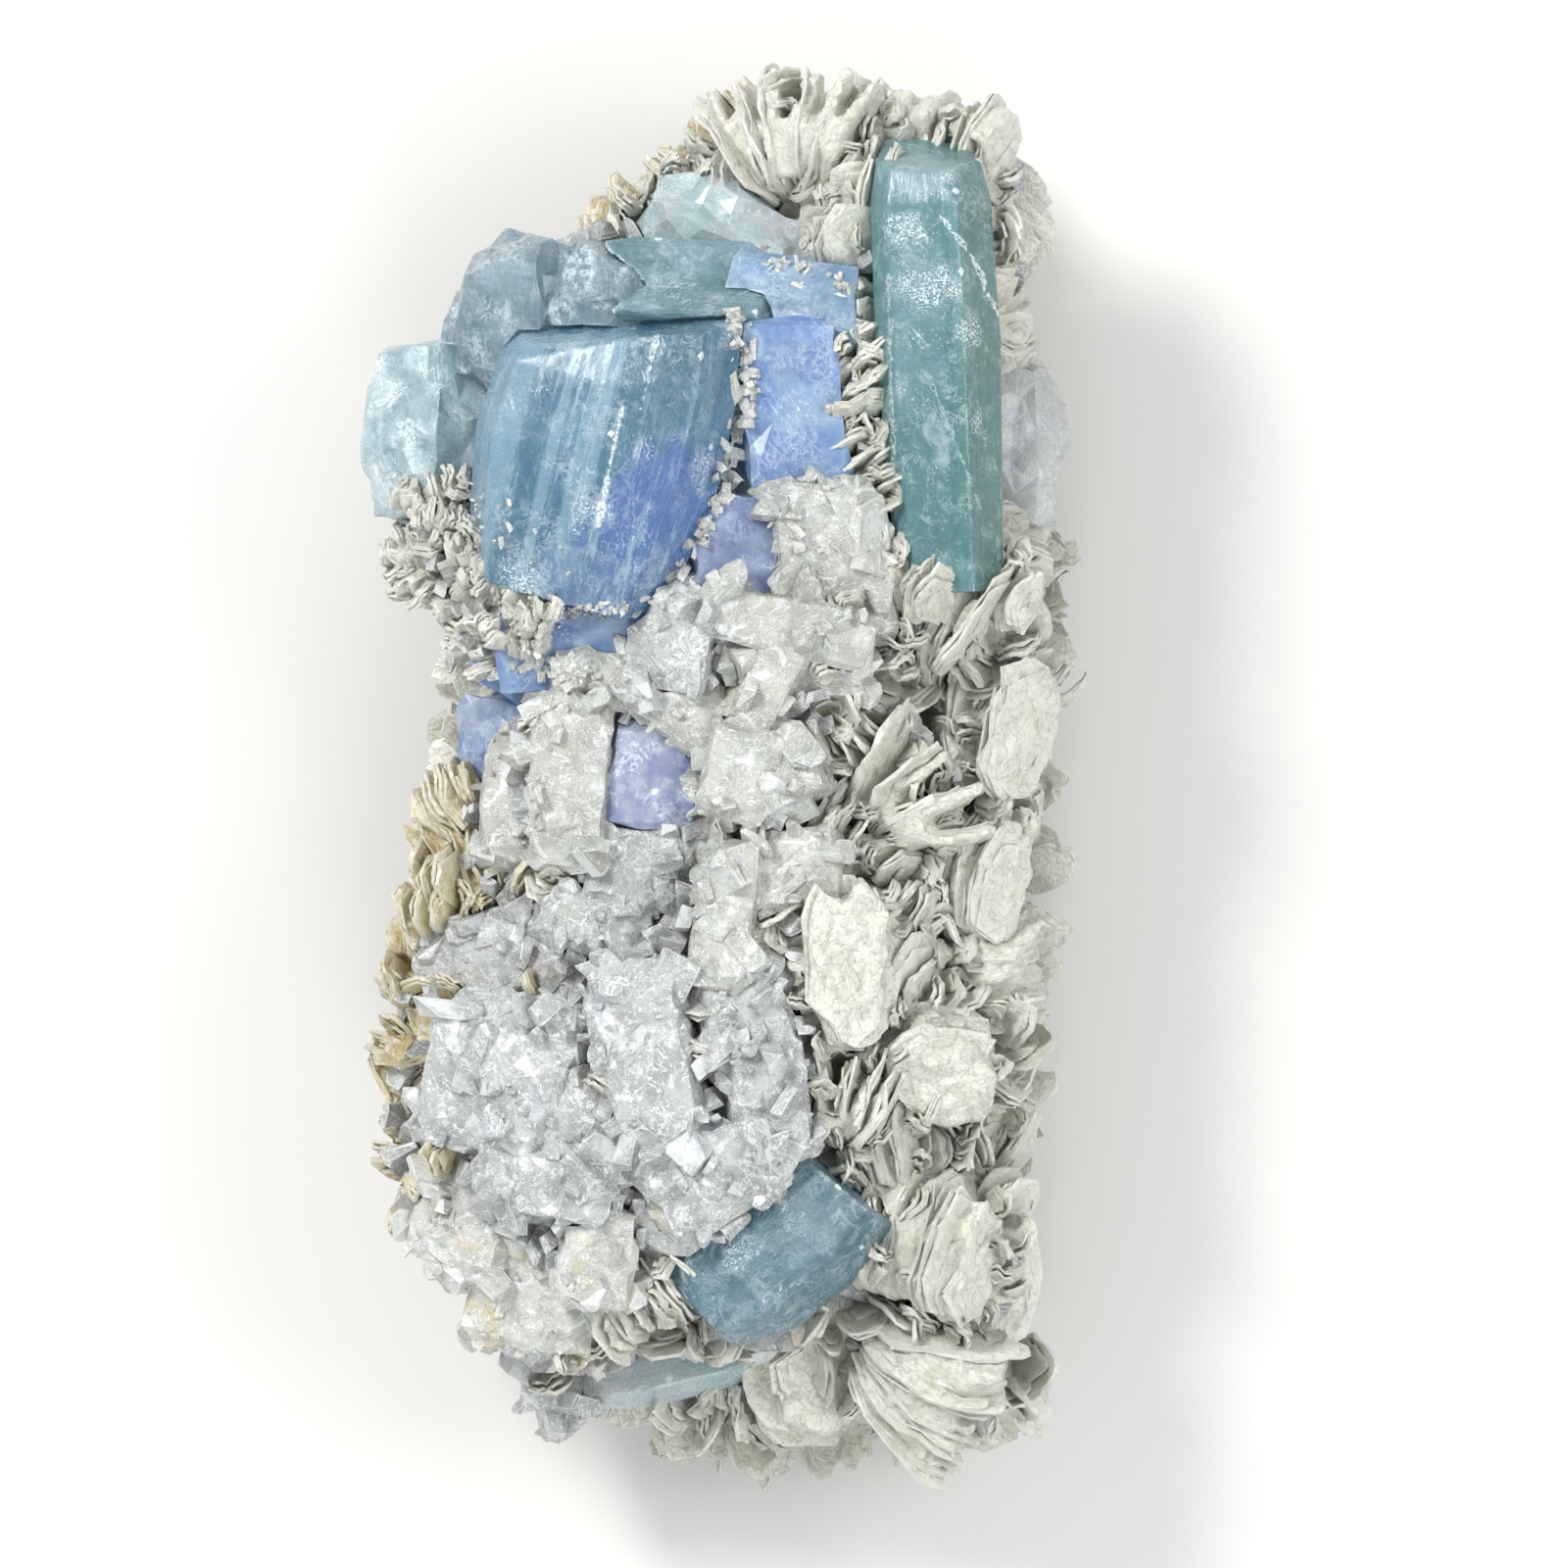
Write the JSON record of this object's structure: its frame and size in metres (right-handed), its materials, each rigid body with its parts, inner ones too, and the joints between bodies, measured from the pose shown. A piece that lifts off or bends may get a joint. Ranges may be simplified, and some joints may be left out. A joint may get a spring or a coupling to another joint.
{
  "type": "aquamarine on matrix",
  "caption": "Blue-green aquamarine crystals and violet-blue fluorite on a long lump of white albite and mica, lying on its flat-cut back as a display specimen.",
  "frame": {"origin": "on the cut back, under the middle of the whole specimen", "axes": "+Z leaves the cut back towards the crystals, +Y runs along the length of the rock, towards the tip of the tall crystal, +X to the right seen from the crystal side"},
  "size_m": [0.0575, 0.1167, 0.0418],
  "materials": {
    "aquamarine": "glassy, translucent",
    "pale_aquamarine": "glassy, frosted, translucent",
    "fluorite": "glassy, translucent",
    "albite": "frosted, granular",
    "mica": "pearly, layered",
    "golden_mica": "pearly, layered",
    "matrix": "rough"
  },
  "bodies": {
    "root": {"aquamarine_tall": "aquamarine", "aquamarine_main": "aquamarine", "aquamarine_left": "pale_aquamarine", "aquamarine_lower": "aquamarine", "aquamarine_bottom": "aquamarine", "aquamarine_upper": "pale_aquamarine", "aquamarine_behind_tall": "pale_aquamarine", "aquamarine_back": "pale_aquamarine", "aquamarine_green": "aquamarine", "fluorite_upper": "fluorite", "fluorite_right": "fluorite", "fluorite_low_right": "fluorite", "fluorite_low": "fluorite", "fluorite_left": "fluorite", "fluorite_middle": "fluorite", "fluorite_lilac": "fluorite", "albite_pointed": "albite", "albite_rough_lump": "albite", "albite_cross_blades": "albite", "albite_diagonal": "albite", "albite_tall_block": "albite", "albite_knot": "albite", "albite_grey_lump": "albite", "albite_finger": "albite", "albite_left_slab": "albite", "albite_diamond": "albite", "albite_right_lobe": "albite", "albite_lower_lobe": "albite", "albite_left_mass": "albite", "albite_low_left": "albite", "albite_foot": "albite", "mica_top_fan": "mica", "mica_top_left": "mica", "mica_top_right": "mica", "mica_right_top": "mica", "mica_right_upper": "mica", "mica_right_middle": "mica", "mica_beside_tall": "mica", "mica_below_tall": "mica", "mica_shell_high": "mica", "mica_arc": "mica", "mica_pocket": "mica", "mica_shell_middle": "mica", "mica_column": "mica", "mica_right_book": "mica", "mica_shell_low": "mica", "mica_thin_fan": "mica", "mica_low_middle": "mica", "mica_low_right": "mica", "mica_bottom_fan": "mica", "mica_bottom_middle": "mica", "mica_bottom_right": "mica", "mica_pocket_low": "mica", "golden_mica_high": "golden_mica", "golden_mica_middle": "golden_mica", "golden_mica_low": "golden_mica", "mica_under_left": "mica", "matrix_rock": "matrix"}
  },
  "joints": []
}
